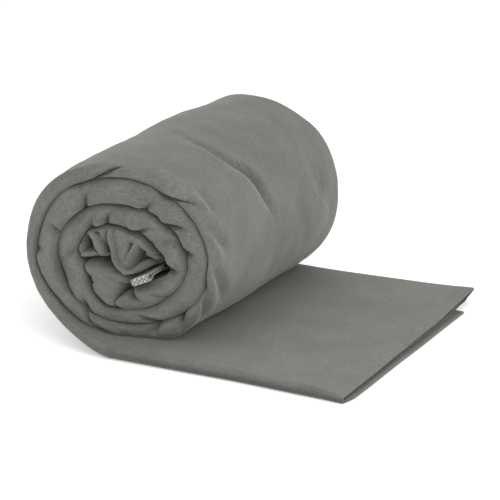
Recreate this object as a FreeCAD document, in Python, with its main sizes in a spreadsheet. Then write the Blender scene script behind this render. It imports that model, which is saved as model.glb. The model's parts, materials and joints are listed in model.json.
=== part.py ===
"""Quick dry travel towel: a cloth folded in three, rolled up, with its free end laid flat.

The row frame is in millimetres. +Z is up and z = 0 is the surface the towel rests on. The roll's
axis runs along Y, x = 0 is the middle of the roll, and the flat tail points along +X. Its near end
is the -Y end, where the hang loop looks out of the hollow core.

The cloth is one textile. It is divided here only where it bends: the roll, and five lengths of
tail that wrap up round the roll one after the other.
"""

import FreeCAD, Part
import Sketcher
import math
import os
from FreeCAD import Placement, Rotation, Vector

# Driving dimensions: alias, value in millimetres or degrees, meaning.
DIMENSIONS = (
    ("strip_width", 167.0, "width of the cloth folded in three, which is the length of the roll"),
    ("ply", 1.4, "thickness of one ply of cloth"),
    ("ply_gap", 1.0, "air between two plies of the folded tail"),
    ("roll_height", 95.0, "height of the roll over the resting surface"),
    ("top_growth", 6.2, "what half a turn adds to the roll's radius over the top"),
    ("turn_gap", 0.4, "air between one turn of the roll and the next"),
    ("sag_half", 2.0, "half the flat that the roll's weight presses into it"),
    ("edge_round", 2.0, "rounding of the folded edges at both ends of the roll"),
    ("bend_angle", 28.0, "how far each length of tail bends from the one before"),
    ("bend_play", 0.3, "clearance of a bend's round end in its hollow"),
    ("tail_reach", 128.0, "end of the tail, measured from the middle of the roll"),
    ("short_ply", 16.0, "how far the bottom ply stops short of the far fold"),
    ("inner_short", 1.5, "how far the middle ply stops short of the near fold's centre"),
    ("flap_radius", 16.5, "outside radius of the corner flap curled up in the core"),
    ("flap_wall", 7.5, "thickness of the corner flap's curl"),
    ("flap_cross", 29.0, "width of the single ply that crosses the core under the loop"),
    ("ribbon_width", 11.0, "width of the hang loop's ribbon"),
    ("ribbon_thick", 1.0, "thickness of the ribbon"),
    ("loop_gap", 3.6, "gap between the loop's two legs"),
    ("loop_reach", 48.0, "seam to the middle of the loop's bight"),
    ("free_reach", 44.0, "bight to the end of the loop's free leg"),
    ("sewn_length", 6.0, "length of ribbon sewn to the cloth"),
    ("snap_reach", 14.0, "seam to the middle of the snap"),
    ("stud_radius", 1.9, "radius of the stud's head"),
    ("snap_radius", 3.7, "radius of the snap's flanges"),
    ("label_width", 8.0, "width of the care label"),
    ("label_length", 22.0, "length of the care label's flap"),
    ("label_seam", 4.0, "length of the care label that is sewn to the cloth"),
    ("label_thick", 0.4, "thickness of the folded care label"),
    ("thread", 0.25, "radius of the sewing thread"),
    ("stitch_pitch", 3.0, "length of a stitch and the gap after it"),
)

TAIL_LENGTHS = 5
HALF_TURNS = 5

# The loop's own frame: x across the ribbon, y along the roll's axis, z out of the ribbon's face.
LOOP_TILT = -25.0
LOOP_SEAM = Vector(12.4, -20.0, 36.5)
LOOP_FRAME = Placement(LOOP_SEAM, Rotation(Vector(0, 1, 0), LOOP_TILT))

doc = FreeCAD.newDocument("quick_dry_towel")
sheet = doc.addObject("Spreadsheet::Sheet", "Dims")
for row, (alias, value, meaning) in enumerate(DIMENSIONS, start=1):
    sheet.set(f"A{row}", meaning)
    sheet.set(f"B{row}", str(value))
    sheet.setAlias(f"B{row}", alias)
doc.recompute()


def dim(alias):
    """The value of a driving dimension."""
    return float(sheet.get(alias))


# Sizes that follow from the driving dimensions, each with the formula a sketch is bound to.
STACK = "(3 * Dims.ply + 2 * Dims.ply_gap)"
stack = 3 * dim("ply") + 2 * dim("ply_gap")
LOW_GROWTH = f"(({STACK} + Dims.turn_gap) / 2)"
low_growth = (stack + dim("turn_gap")) / 2
outer_radius = dim("roll_height") / 2
# The tail wraps on the roll's right-hand arc, half a turn in from the outermost one.
WRAP_RADIUS = f"(Dims.roll_height / 2 - {LOW_GROWTH} + Dims.turn_gap + {STACK} / 2)"
wrap_radius = outer_radius - low_growth + dim("turn_gap") + stack / 2
HALF_LENGTH = f"({WRAP_RADIUS} * tan(Dims.bend_angle / 2))"
half_length = wrap_radius * math.tan(math.radians(dim("bend_angle") / 2))


def bend_x(number):
    """Place of a bend along X: the lengths between bends just touch the roll when they wrap it."""
    return dim("sag_half") + half_length * (2 * number - 1)


def new_body(label):
    """A PartDesign body whose label names its file."""
    body = doc.addObject("PartDesign::Body", label)
    body.Label = label
    return body


def new_sketch(body, name, plane):
    """A sketch on one of the body's own origin planes."""
    sketch = body.newObject("Sketcher::SketchObject", name)
    origin_plane = next(f for f in body.Origin.OriginFeatures if f.Role == plane)
    sketch.AttachmentSupport = [(origin_plane, "")]
    sketch.MapMode = "FlatFace"
    return sketch


def bound(sketch, kind, *where, formula):
    """Adds a dimension to a sketch and binds it to a formula of the spreadsheet."""
    index = sketch.addConstraint(Sketcher.Constraint(kind, *where))
    sketch.setExpression(f"Constraints[{index}]", formula)
    return index


def line(sketch, start, end):
    """A straight line of a sketch."""
    return sketch.addGeometry(Part.LineSegment(Vector(*start, 0), Vector(*end, 0)), False)


def arc(sketch, centre, radius, start_deg, end_deg):
    """An arc of a sketch, anticlockwise."""
    circle = Part.Circle(Vector(*centre, 0), Vector(0, 0, 1), radius)
    angles = math.radians(start_deg), math.radians(end_deg)
    return sketch.addGeometry(Part.ArcOfCircle(circle, *angles), False)


def join(sketch, *ends):
    """Makes two ends of a sketch's lines or arcs one point."""
    sketch.addConstraint(Sketcher.Constraint("Coincident", *ends))


# Sketcher's numbers for a geometry's points, for the origin and for the upright axis.
START, END, CENTRE = 1, 2, 3
ORIGIN, UPRIGHT = -1, -2


def pad(body, sketch, formula, midplane=False):
    """Pads a sketch to a length given by a formula."""
    feature = body.newObject("PartDesign::Pad", f"{body.Name}_pad")
    feature.Profile = sketch
    feature.setExpression("Length", formula)
    feature.Midplane = midplane
    sketch.Visibility = False
    doc.recompute()
    return feature


# --- The roll -------------------------------------------------------------------------------

def turn(inward):
    """Radius, height and formula of the half turn that lies this many half turns inside the last."""
    low, high = (inward + 1) // 2, inward // 2
    radius = outer_radius - low * low_growth - high * dim("top_growth")
    height = outer_radius + low * low_growth - high * dim("top_growth")
    formula = f"Dims.roll_height / 2 - {low} * {LOW_GROWTH} - {high} * Dims.top_growth"
    return radius, height, formula


def rolled_cloth():
    """Two and a half turns of the folded strip. Each half turn is an arc, and the arcs' ends meet
    on two upright lines, so the turns lie close under the roll and wider apart over it."""
    body = new_body("rolled_cloth")
    sketch = new_sketch(body, "spiral", "XZ_Plane")
    sag, gap = dim("sag_half"), dim("turn_gap")

    def half_turn(inward, extra, extra_formula):
        """One semicircle, its centre on the left or right upright line."""
        radius, height, formula = turn(inward)
        on_left = inward % 2 == 0
        side = -sag if on_left else sag
        angles = (90, 270) if on_left else (-90, 90)
        index = arc(sketch, (side, height), radius + extra, *angles)
        bound(sketch, "Radius", index, radius + extra, formula=formula + extra_formula)
        for end in (START, END):
            sketch.addConstraint(Sketcher.Constraint("Vertical", index, CENTRE, index, end))
        sign = "-" if on_left else ""
        bound(sketch, "DistanceX", ORIGIN, START, index, CENTRE, side, formula=f"{sign}Dims.sag_half")
        return index

    def bridge(first, first_end, second, second_end):
        """The pressed flat between two half turns."""
        start = sketch.getPoint(first, first_end)
        end = sketch.getPoint(second, second_end)
        index = line(sketch, (start.x, start.y), (end.x, end.y))
        join(sketch, index, START, first, first_end)
        join(sketch, index, END, second, second_end)
        return index

    # The first outside half turn is placed by its centre's height; the others follow from it.
    outside = [half_turn(HALF_TURNS - 1 - step, 0.0, "") for step in range(HALF_TURNS)]
    for inner, outer in zip(outside, outside[1:]):
        flat = bridge(inner, END, outer, START)
        sketch.addConstraint(Sketcher.Constraint("Horizontal", flat))
    inside = [half_turn(HALF_TURNS + 1 - step, gap, " + Dims.turn_gap") for step in range(HALF_TURNS)]
    for inner, outer in zip(inside, inside[1:]):
        flat = bridge(inner, END, outer, START)
        sketch.addConstraint(Sketcher.Constraint("Horizontal", flat))
    cap = bridge(inside[0], START, outside[0], START)

    # The root of the tail, with the round end that the first length of tail turns on.
    root_x = bend_x(1)
    floor = line(sketch, (-sag, 0), (root_x, 0))
    nose = arc(sketch, (root_x, stack / 2), stack / 2, -90, 90)
    top = line(sketch, (root_x, stack), (-sag, stack))
    join(sketch, outside[-1], END, floor, START)
    join(sketch, floor, END, nose, START)
    join(sketch, nose, END, top, START)
    join(sketch, top, END, inside[-1], END)
    for flat in (floor, top):
        sketch.addConstraint(Sketcher.Constraint("Horizontal", flat))
    for end in (START, END):
        sketch.addConstraint(Sketcher.Constraint("Vertical", nose, CENTRE, nose, end))
    bound(sketch, "DistanceX", ORIGIN, START, nose, CENTRE, root_x, formula=f"Dims.sag_half + {HALF_LENGTH}")
    bound(sketch, "DistanceY", ORIGIN, START, outside[-1], CENTRE, outer_radius,
          formula="Dims.roll_height / 2")
    if sketch.solve() != 0:
        raise SystemExit("the spiral sketch doesn't solve")
    cloth = pad(body, sketch, "Dims.strip_width", midplane=True)

    # Every edge of the two end faces is one of the strip's folds, so it is rounded.
    half = dim("strip_width") / 2
    names = [
        f"Edge{number}"
        for number, edge in enumerate(cloth.Shape.Edges, start=1)
        if abs(abs(edge.BoundBox.YMin) - half) < 1e-3 and edge.BoundBox.YLength < 1e-3
    ]
    folds = body.newObject("PartDesign::Fillet", "rolled_folds")
    folds.Base = (cloth, names)
    folds.setExpression("Radius", "Dims.edge_round")
    doc.recompute()
    return body


# --- The tail -------------------------------------------------------------------------------

def letter_fold(body, length_formula):
    """Pads the tail's end view along X: three plies, folded like a letter. The top ply turns down
    at both edges: at the near (-Y) edge round the whole stack into the bottom ply, which stops
    short of the far fold, and at the far edge into the middle ply, which ends inside the near fold."""
    sketch = new_sketch(body, f"{body.Name}_plies", "YZ_Plane")
    half, ply, gap = dim("strip_width") / 2, dim("ply"), dim("ply_gap")
    bend = ply + gap / 2
    centre = stack / 2
    far, near = half - bend, centre - half
    short, inner_end = half - dim("short_ply"), centre + dim("inner_short") - half
    middle, upper = ply + gap, 2 * (ply + gap)
    top_out = line(sketch, (near, stack), (far, stack))
    far_out = arc(sketch, (far, middle + bend), bend, -90, 90)
    middle_low = line(sketch, (far, middle), (inner_end, middle))
    middle_end = line(sketch, (inner_end, middle), (inner_end, middle + ply))
    middle_up = line(sketch, (inner_end, middle + ply), (far, middle + ply))
    far_in = arc(sketch, (far, middle + bend), gap / 2, -90, 90)
    top_in = line(sketch, (far, upper), (near, upper))
    near_in = arc(sketch, (near, centre), centre - ply, 90, 270)
    bottom_up = line(sketch, (near, ply), (short, ply))
    bottom_end = line(sketch, (short, ply), (short, 0))
    bottom_out = line(sketch, (short, 0), (near, 0))
    near_out = arc(sketch, (near, centre), centre, 90, 270)
    for ends in (
        (top_out, END, far_out, END), (far_out, START, middle_low, START),
        (middle_up, END, far_in, START), (far_in, END, top_in, START),
        (top_in, END, near_in, START), (near_in, END, bottom_up, START),
        (bottom_out, END, near_out, END), (near_out, START, top_out, START),
    ):
        sketch.addConstraint(Sketcher.Constraint("Tangent", *ends))
    join(sketch, middle_low, END, middle_end, START)
    join(sketch, middle_end, END, middle_up, START)
    join(sketch, bottom_up, END, bottom_end, START)
    join(sketch, bottom_end, END, bottom_out, START)
    for flat in (top_out, middle_low, middle_up, top_in, bottom_up, bottom_out):
        sketch.addConstraint(Sketcher.Constraint("Horizontal", flat))
    for upright in (middle_end, bottom_end):
        sketch.addConstraint(Sketcher.Constraint("Vertical", upright))
    join(sketch, far_out, CENTRE, far_in, CENTRE)
    join(sketch, near_out, CENTRE, near_in, CENTRE)
    bound(sketch, "Radius", far_in, gap / 2, formula="Dims.ply_gap / 2")
    bound(sketch, "Radius", far_out, bend, formula="Dims.ply + Dims.ply_gap / 2")
    bound(sketch, "Radius", near_out, centre, formula=f"{STACK} / 2")
    half_width = "Dims.strip_width / 2"
    bound(sketch, "DistanceX", ORIGIN, START, far_out, CENTRE, far,
          formula=f"{half_width} - Dims.ply - Dims.ply_gap / 2")
    bound(sketch, "DistanceX", near_out, CENTRE, ORIGIN, START, -near, formula=f"{half_width} - {STACK} / 2")
    bound(sketch, "DistanceX", ORIGIN, START, bottom_out, START, short,
          formula=f"{half_width} - Dims.short_ply")
    bound(sketch, "DistanceX", middle_end, START, ORIGIN, START, -inner_end,
          formula=f"{half_width} - {STACK} / 2 - Dims.inner_short")
    sketch.addConstraint(Sketcher.Constraint("PointOnObject", bottom_out, END, ORIGIN))
    if sketch.solve() != 0:
        raise SystemExit(f"{body.Label}: the ply sketch doesn't solve")
    return pad(body, sketch, length_formula)


def tail_cloth(number):
    """One length of tail. It starts with a hollow that turns on the round end before it."""
    last = number == TAIL_LENGTHS
    body = new_body(f"tail_cloth_{number}")
    start = f"Dims.sag_half + {2 * number - 1} * {HALF_LENGTH}"
    body.setExpression("Placement.Base.x", start)
    pitch = 2 * half_length
    length = f"Dims.tail_reach - ({start})" if last else f"2 * {HALF_LENGTH} + {STACK} / 2"
    letter_fold(body, length)
    ends = new_sketch(body, f"{body.Name}_bend_ends", "XZ_Plane")
    radius = stack / 2 + dim("bend_play")
    hollow = ends.addGeometry(
        Part.Circle(Vector(0, stack / 2, 0), Vector(0, 0, 1), radius), False
    )
    bound(ends, "Radius", hollow, radius, formula=f"{STACK} / 2 + Dims.bend_play")
    bound(ends, "DistanceY", ORIGIN, START, hollow, CENTRE, stack / 2, formula=f"{STACK} / 2")
    ends.addConstraint(Sketcher.Constraint("PointOnObject", hollow, CENTRE, UPRIGHT))
    if not last:
        # What lies outside the round end is cut away.
        tip = pitch + stack
        nose = arc(ends, (pitch, stack / 2), stack / 2, -90, 90)
        low = line(ends, (pitch, 0), (tip, 0))
        side = line(ends, (tip, 0), (tip, stack))
        high = line(ends, (tip, stack), (pitch, stack))
        join(ends, nose, START, low, START)
        join(ends, low, END, side, START)
        join(ends, side, END, high, START)
        join(ends, high, END, nose, END)
        for flat in (low, high):
            ends.addConstraint(Sketcher.Constraint("Horizontal", flat))
        ends.addConstraint(Sketcher.Constraint("Vertical", side))
        ends.addConstraint(Sketcher.Constraint("Vertical", nose, CENTRE, nose, START))
        ends.addConstraint(Sketcher.Constraint("PointOnObject", low, START, ORIGIN))
        bound(ends, "DistanceX", ORIGIN, START, nose, CENTRE, pitch, formula=f"2 * {HALF_LENGTH}")
        bound(ends, "DistanceX", low, START, low, END, stack, formula=STACK)
        bound(ends, "DistanceY", low, END, high, START, stack, formula=STACK)
    if ends.solve() != 0:
        raise SystemExit(f"{body.Label}: the sketch of its ends doesn't solve")
    before = body.Shape.Volume
    cut = body.newObject("PartDesign::Pocket", f"{body.Name}_bend_cut")
    cut.Profile = ends
    cut.Type = "ThroughAll"
    cut.Midplane = True
    doc.recompute()
    if body.Shape.Volume >= before:
        raise SystemExit(f"{body.Label}: the cut of its ends took nothing away")
    return body


# --- The corner of the cloth in the core -----------------------------------------------------

def corner_flap():
    """The cloth's first corner: a loose curl in the core, and the single ply across it that the
    hang loop is sewn to."""
    centre_x, centre_z = -3.0, 39.0
    # How far the flap stays inside each end of the roll.
    inset = 5.0
    length = dim("strip_width") - 2 * inset
    lying = Rotation(Vector(1, 0, 0), 90)
    start_deg, sweep_deg = 74.0, 206.0

    def curl_cylinder(name, formula):
        """Part of a cylinder round the curl's axis."""
        cylinder = doc.addObject("Part::Cylinder", name)
        cylinder.setExpression("Radius", formula)
        cylinder.setExpression("Height", f"Dims.strip_width - {2 * inset}")
        cylinder.Angle = sweep_deg
        turned = Rotation(Vector(0, 1, 0), -start_deg).multiply(lying)
        cylinder.Placement = Placement(Vector(centre_x, length / 2, centre_z), turned)
        return cylinder

    curl = doc.addObject("Part::Cut", "corner_curl")
    curl.Base = curl_cylinder("curl_outside", "Dims.flap_radius")
    curl.Tool = curl_cylinder("curl_inside", "Dims.flap_radius - Dims.flap_wall")
    across = doc.addObject("Part::Box", "corner_ply")
    across.setExpression("Length", "Dims.flap_cross")
    across.setExpression("Height", "Dims.ply")
    across.setExpression("Width", f"Dims.strip_width / 2 - {inset} + {-LOOP_SEAM.y}")
    reach = dim("ribbon_width") / 2 - dim("flap_cross")
    across.Placement = LOOP_FRAME.multiply(Placement(Vector(reach, 0, -dim("ply")), Rotation()))
    flap = doc.addObject("Part::Fuse", "corner_flap")
    flap.Label = "corner_flap"
    flap.Base = curl
    flap.Tool = across
    return flap


# --- The hang loop and its snap ----------------------------------------------------------------

def box(name, sizes, corner):
    """A Part box in the loop's frame. sizes are three formulas and corner is its lowest corner."""
    made = doc.addObject("Part::Box", name)
    for side, formula in zip(("Length", "Width", "Height"), sizes):
        made.setExpression(side, formula)
    made.Placement = LOOP_FRAME.multiply(Placement(Vector(*corner), Rotation()))
    return made


def disc(name, radius_formula, height_formula, centre):
    """A Part cylinder along the loop frame's z. centre is the middle of its lower face."""
    made = doc.addObject("Part::Cylinder", name)
    made.setExpression("Radius", radius_formula)
    made.setExpression("Height", height_formula)
    made.Placement = LOOP_FRAME.multiply(Placement(Vector(*centre), Rotation()))
    return made


def across_bar(name, radius_formula, centre, angle=360.0, start_deg=0.0):
    """A Part cylinder across the ribbon. angle and start_deg make a sector, counted from +y
    towards +z."""
    made = doc.addObject("Part::Cylinder", name)
    made.setExpression("Radius", radius_formula)
    made.setExpression("Height", "Dims.ribbon_width")
    made.Angle = angle
    turned = Rotation(Vector(1, 0, 0), start_deg).multiply(Rotation(Vector(1, 1, 1), 120))
    corner = Vector(-dim("ribbon_width") / 2, *centre)
    made.Placement = LOOP_FRAME.multiply(Placement(corner, turned))
    return made


def combine(kind, label, base, tool):
    """A cut or a fuse of two objects, with a label of its own."""
    made = doc.addObject(f"Part::{kind}", label)
    made.Label = label
    made.Base = base
    made.Tool = tool
    return made


half_ribbon = dim("ribbon_width") / 2
ribbon = dim("ribbon_thick")
snap_y = -dim("snap_reach")
bight_y = -dim("loop_reach")
upper_face = ribbon + dim("loop_gap")
bight_z = ribbon + dim("loop_gap") / 2
free_end_y = bight_y + dim("free_reach")
# Sizes of the snap that don't change with the ribbon: its posts, the holes they pass, flanges and
# the clearance between pieces that are pressed together.
POST_RADIUS = 1.2
POST_HOLE = 1.3
FLANGE = 0.5
PRESS_CLEAR = 0.02
STUD_RISE = 2.4
STUD_HEAD = 0.9
SOCKET_OVERLAP = 1.0
SOCKET_ROOF = 0.6
SPRING_WIRE = 0.26
SPRING_ROOM = 0.32
CAP_RISE = 0.9
CAP_CURVE = 8.5


def hang_loop():
    """The ribbon: the end sewn down, the leg with the stud and the bight, and the free leg."""
    play = dim("bend_play")
    # The sewn end has a round front edge that the leg swings on.
    sewn = combine(
        "Fuse", "loop_sewn_end",
        box("sewn_flat", ("Dims.ribbon_width", "Dims.sewn_length", "Dims.ribbon_thick"),
            (-half_ribbon, 0, 0)),
        across_bar("sewn_round", "Dims.ribbon_thick / 2", (0, ribbon / 2)),
    )
    leg = box("leg_flat", ("Dims.ribbon_width", "Dims.loop_reach", "Dims.ribbon_thick"),
              (-half_ribbon, bight_y, 0))
    leg = combine("Cut", "leg_hollow", leg,
                  across_bar("leg_play", f"Dims.ribbon_thick / 2 + {play / 3}", (0, ribbon / 2)))
    leg = combine("Cut", "leg_pierced", leg,
                  disc("leg_hole", f"{POST_HOLE}", "3 * Dims.ribbon_thick", (0, snap_y, -ribbon)))
    # The bight stops short of the free leg by the angle that the free leg needs to open.
    bight_room = 14.0
    bight = combine(
        "Cut", "bight",
        across_bar("bight_outside", "Dims.loop_gap / 2 + Dims.ribbon_thick", (bight_y, bight_z),
                   180 - bight_room, 90 + bight_room),
        across_bar("bight_inside", "Dims.loop_gap / 2", (bight_y, bight_z)),
    )
    fixed = combine("Fuse", "loop_fixed_leg", leg, bight)
    free = combine(
        "Cut", "loop_free_leg",
        box("free_flat", ("Dims.ribbon_width", "Dims.free_reach", "Dims.ribbon_thick"),
            (-half_ribbon, bight_y, upper_face)),
        disc("free_hole", f"{POST_HOLE}", "3 * Dims.ribbon_thick", (0, snap_y, upper_face - ribbon)),
    )
    return [sewn, fixed, free]


def snap():
    """The snap's five pieces: stud and rivet on the fixed leg; socket, spring and cap on the free."""
    # The rivet's flange is under the fixed leg and its post ends inside the stud.
    rivet = combine(
        "Fuse", "snap_rivet",
        disc("rivet_flange", f"Dims.snap_radius - {FLANGE - 0.1}", f"{FLANGE}", (0, snap_y, -FLANGE)),
        disc("rivet_post", f"{POST_RADIUS}", f"Dims.ribbon_thick + {FLANGE}", (0, snap_y, 0)),
    )
    stud_base, stud_top = ribbon, ribbon + STUD_RISE
    stud = combine(
        "Fuse", "stud_whole",
        disc("stud_flange", "Dims.snap_radius", f"{FLANGE + 0.2}", (0, snap_y, stud_base)),
        combine(
            "Fuse", "stud_knob",
            disc("stud_neck", "Dims.stud_radius - Dims.bend_play", f"{STUD_RISE - 0.4}",
                 (0, snap_y, stud_base)),
            disc("stud_head", "Dims.stud_radius", f"{STUD_HEAD}", (0, snap_y, stud_top - STUD_HEAD)),
        ),
    )
    stud = combine("Cut", "snap_stud", stud,
                   disc("stud_bore", f"{POST_RADIUS + PRESS_CLEAR}", f"{FLANGE + PRESS_CLEAR}",
                        (0, snap_y, ribbon)))
    # The socket hangs under the free leg, open downwards, with a groove that holds the spring.
    socket_low = stud_top - SOCKET_OVERLAP
    socket_height = upper_face - socket_low
    socket = disc("socket_body", "Dims.snap_radius", f"{socket_height}", (0, snap_y, socket_low))
    socket = combine("Cut", "socket_bored", socket,
                     disc("socket_bore", "Dims.stud_radius + 0.2", f"{socket_height - SOCKET_ROOF}",
                          (0, snap_y, socket_low)))
    groove_z = socket_low + 0.75
    groove = doc.addObject("Part::Torus", "socket_groove")
    ring_radius = f"Dims.stud_radius + Dims.bend_play / 2 + {SPRING_WIRE}"
    groove.setExpression("Radius1", ring_radius)
    groove.Radius2 = SPRING_ROOM
    at_groove = LOOP_FRAME.multiply(Placement(Vector(0, snap_y, groove_z), Rotation()))
    groove.Placement = at_groove
    socket = combine("Cut", "socket_grooved", socket, groove)
    socket = combine("Cut", "snap_socket", socket,
                     disc("socket_hole", f"{POST_RADIUS + PRESS_CLEAR}", f"{2 * SOCKET_ROOF}",
                          (0, snap_y, upper_face - 2 * SOCKET_ROOF)))
    spring = doc.addObject("Part::Torus", "snap_spring")
    spring.Label = "snap_spring"
    spring.setExpression("Radius1", ring_radius)
    spring.Radius2 = SPRING_WIRE
    spring.Angle3 = 300.0
    spring.Placement = at_groove
    # The cap is a shallow dome over the free leg, with the post that holds the socket.
    cap_face = upper_face + ribbon
    dome = doc.addObject("Part::Sphere", "cap_dome_ball")
    dome.Radius = CAP_CURVE
    dome.Placement = LOOP_FRAME.multiply(
        Placement(Vector(0, snap_y, cap_face + CAP_RISE - CAP_CURVE), Rotation())
    )
    dome = combine("Common", "cap_dome", dome,
                   disc("cap_rim", "Dims.snap_radius + 0.3", f"{2 * CAP_RISE}", (0, snap_y, cap_face)))
    cap = combine("Fuse", "snap_cap", dome,
                  disc("cap_post", f"{POST_RADIUS}", f"Dims.ribbon_thick + {FLANGE + 0.1}",
                       (0, snap_y, upper_face - FLANGE)))
    return [rivet, stud, socket, spring, cap]


# --- Label and threads --------------------------------------------------------------------------

LABEL_CLEAR = 0.1
label_z = -dim("ply") - dim("label_thick") - LABEL_CLEAR
STITCH_SHARE = 0.72
TACK_PITCH = 1.4


def care_label():
    """A folded satin label under the same ply as the loop: the end that is sewn, and the flap that
    hangs from it and can lift."""
    crease = 0.3
    half_width = dim("label_width") / 2
    sewn = box("label_sewn_end", ("Dims.label_width", "Dims.label_seam", "Dims.label_thick"),
               (-half_width, crease / 2, label_z))
    flap = box("label_flap", ("Dims.label_width", "Dims.label_length", "Dims.label_thick"),
               (-half_width, -dim("label_length") - crease / 2, label_z))
    return [sewn, flap]


def stitches(label, frame, along, count, pitch, at):
    """A row of stitches, each a thread lying on the face it sews: a node of separate solids."""
    radius = dim("thread")
    length = pitch * STITCH_SHARE
    made = []
    for number in range(count):
        start = Vector(*at) + along * (pitch * number)
        thread = Part.makeCylinder(radius, length, start, along)
        for end in (start, start + along * length):
            thread = thread.fuse(Part.makeSphere(radius, end))
        made.append(thread.removeSplitter())
    feature = doc.addObject("Part::Feature", label)
    feature.Label = label
    feature.Shape = Part.makeCompound(made)
    feature.Placement = frame
    return feature


def threads():
    """The hem's row of stitches, the bar tacks that hold the loop, and the label's stitches."""
    radius, pitch = dim("thread"), dim("stitch_pitch")
    hem_inset = 4.0
    across = dim("strip_width") - 2 * hem_inset
    count = int(across // pitch)
    hem_start = (dim("tail_reach") - hem_inset, -pitch * count / 2, stack + radius)
    hem = stitches("hem_stitches", Placement(), Vector(0, 1, 0), count, pitch, hem_start)
    rows, tack_count, label_count = 3, 6, 5
    tacks = []
    for row in range(rows):
        tack_y = dim("sewn_length") * (row + 1) / (rows + 1)
        start = (-TACK_PITCH * tack_count / 2, tack_y, ribbon + radius)
        tacks.append(stitches(f"tack_row_{row}", Placement(), Vector(1, 0, 0), tack_count,
                              TACK_PITCH, start))
    bar_tack = doc.addObject("Part::Feature", "loop_bar_tack")
    bar_tack.Label = "loop_bar_tack"
    bar_tack.Shape = Part.makeCompound([s for row in tacks for s in row.Shape.Solids])
    bar_tack.Placement = LOOP_FRAME
    for row in tacks:
        doc.removeObject(row.Name)
    label_start = (-TACK_PITCH * label_count / 2, dim("label_seam") / 2, label_z - radius)
    sewn = stitches("label_stitches", LOOP_FRAME, Vector(1, 0, 0), label_count, TACK_PITCH, label_start)
    return [hem, bar_tack, sewn]


parts = [rolled_cloth()]
parts += [tail_cloth(number) for number in range(1, TAIL_LENGTHS + 1)]
parts += [corner_flap()]
parts += hang_loop()
parts += snap()
parts += care_label()
parts += threads()
doc.recompute()

for item in doc.Objects:
    if {"Invalid", "Error"} & set(item.State):
        raise SystemExit(f"{item.Name} failed: {item.State}")
os.makedirs("parts", exist_ok=True)
for item in parts:
    shape = item.Shape
    if shape.isNull() or not shape.isValid() or not shape.Solids:
        raise SystemExit(f"{item.Label} has no valid shape")
    shape.exportStep(f"parts/{item.Label}.step")
    print(item.Label, len(shape.Solids), round(shape.Volume, 1))
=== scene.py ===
"""Looks of the quick dry towel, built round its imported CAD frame.

Lengths are in millimetres until mesh_object() turns them into metres. The roll is one strip of
folded cloth wound outwards round a hub: an unwrapped angle says how far round it is (0 is right,
90 top, 180 left, 270 bottom), and each whole turn outwards adds 360. Its near end is the -Y end.
"""

import json
import math

import bpy
import numpy as np
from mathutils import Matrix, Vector


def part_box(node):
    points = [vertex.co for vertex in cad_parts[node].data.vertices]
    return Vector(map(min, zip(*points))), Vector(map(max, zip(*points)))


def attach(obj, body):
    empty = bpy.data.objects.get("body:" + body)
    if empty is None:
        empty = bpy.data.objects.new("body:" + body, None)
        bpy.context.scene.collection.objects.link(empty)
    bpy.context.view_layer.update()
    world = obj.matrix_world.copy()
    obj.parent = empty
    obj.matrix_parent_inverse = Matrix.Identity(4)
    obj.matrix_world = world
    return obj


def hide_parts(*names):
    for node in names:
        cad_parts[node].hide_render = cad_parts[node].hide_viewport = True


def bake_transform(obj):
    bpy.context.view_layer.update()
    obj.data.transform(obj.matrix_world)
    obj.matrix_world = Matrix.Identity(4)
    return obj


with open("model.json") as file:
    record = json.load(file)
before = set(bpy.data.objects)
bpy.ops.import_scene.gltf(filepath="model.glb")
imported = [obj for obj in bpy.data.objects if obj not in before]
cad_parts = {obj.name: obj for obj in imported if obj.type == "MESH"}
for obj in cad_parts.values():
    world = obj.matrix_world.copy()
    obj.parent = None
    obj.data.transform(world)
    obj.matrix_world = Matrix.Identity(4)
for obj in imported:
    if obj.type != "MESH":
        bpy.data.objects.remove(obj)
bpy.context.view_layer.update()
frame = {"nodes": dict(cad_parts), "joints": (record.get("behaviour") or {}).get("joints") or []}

MM = 0.001

# --- Sizes read from the frame ---

HALF = (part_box("rolled_cloth")[1] / MM).y
TAIL_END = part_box("tail_cloth_5")[1].x / MM
WRAPS = [joint for joint in frame["joints"] if joint["name"].startswith("wrap_")]
BENDS = [joint["pos_m"][0] / MM for joint in WRAPS]
TAIL_PITCH = BENDS[1] - BENDS[0]
TAIL_ROOT = BENDS[0] - TAIL_PITCH / 2

# --- Driving sizes of the cloth ---

PLY = 1.4  # thickness of one ply
HUB_Z = 48.0  # height of the roll's middle
SLANT = 0.29  # how far the near end leans back for each millimetre to the right
STEP_DEG = 2.4  # between sections of the roll's strip
COLUMN = 1.7  # between the strip's points along the roll
HEM = 7.0  # width of the hem
HEM_EXTRA = 0.12  # how much thicker the cloth is at the hem

# Radius of the crease between a turn and the one outside it, by unwrapped angle. The last turn
# of knots is the roll's outside.
CREASE = (
    (-880, 19.0), (-812, 18.5), (-786, 16.6), (-764, 18.4), (-752, 20.6), (-742, 23.0),
    (-730, 23.4), (-718, 21.6), (-706, 18.4), (-690, 16.6), (-672, 16.4), (-650, 15.6),
    (-622, 17.2), (-600, 18.4), (-580, 20.8), (-560, 20.8), (-540, 19.6), (-520, 18.0),
    (-500, 20.0), (-480, 23.2), (-455, 26.4), (-430, 27.6), (-395, 30.0),
    (-372, 32.6), (-350, 31.4), (-315, 29.0), (-270, 28.0), (-235, 29.3), (-205, 31.0),
    (-180, 30.9), (-131, 30.3), (-104, 31.8), (-80, 33.8), (-55, 37.6), (-30, 42.4),
    (0, 43.4), (27, 41.8), (56, 41.2), (100, 41.4), (134, 42.0), (150, 41.0), (180, 40.2),
    (205, 38.2), (235, 37.2), (270, 39.6), (288, 42.6), (305, 47.8), (318, 47.6), (335, 46.8),
    (360, 46.8), (405, 46.6), (450, 46.4), (495, 45.6), (540, 44.9), (567, 44.6), (590, 43.7),
    (612, 44.2), (630, 47.7), (700, 48.0),
)


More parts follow.
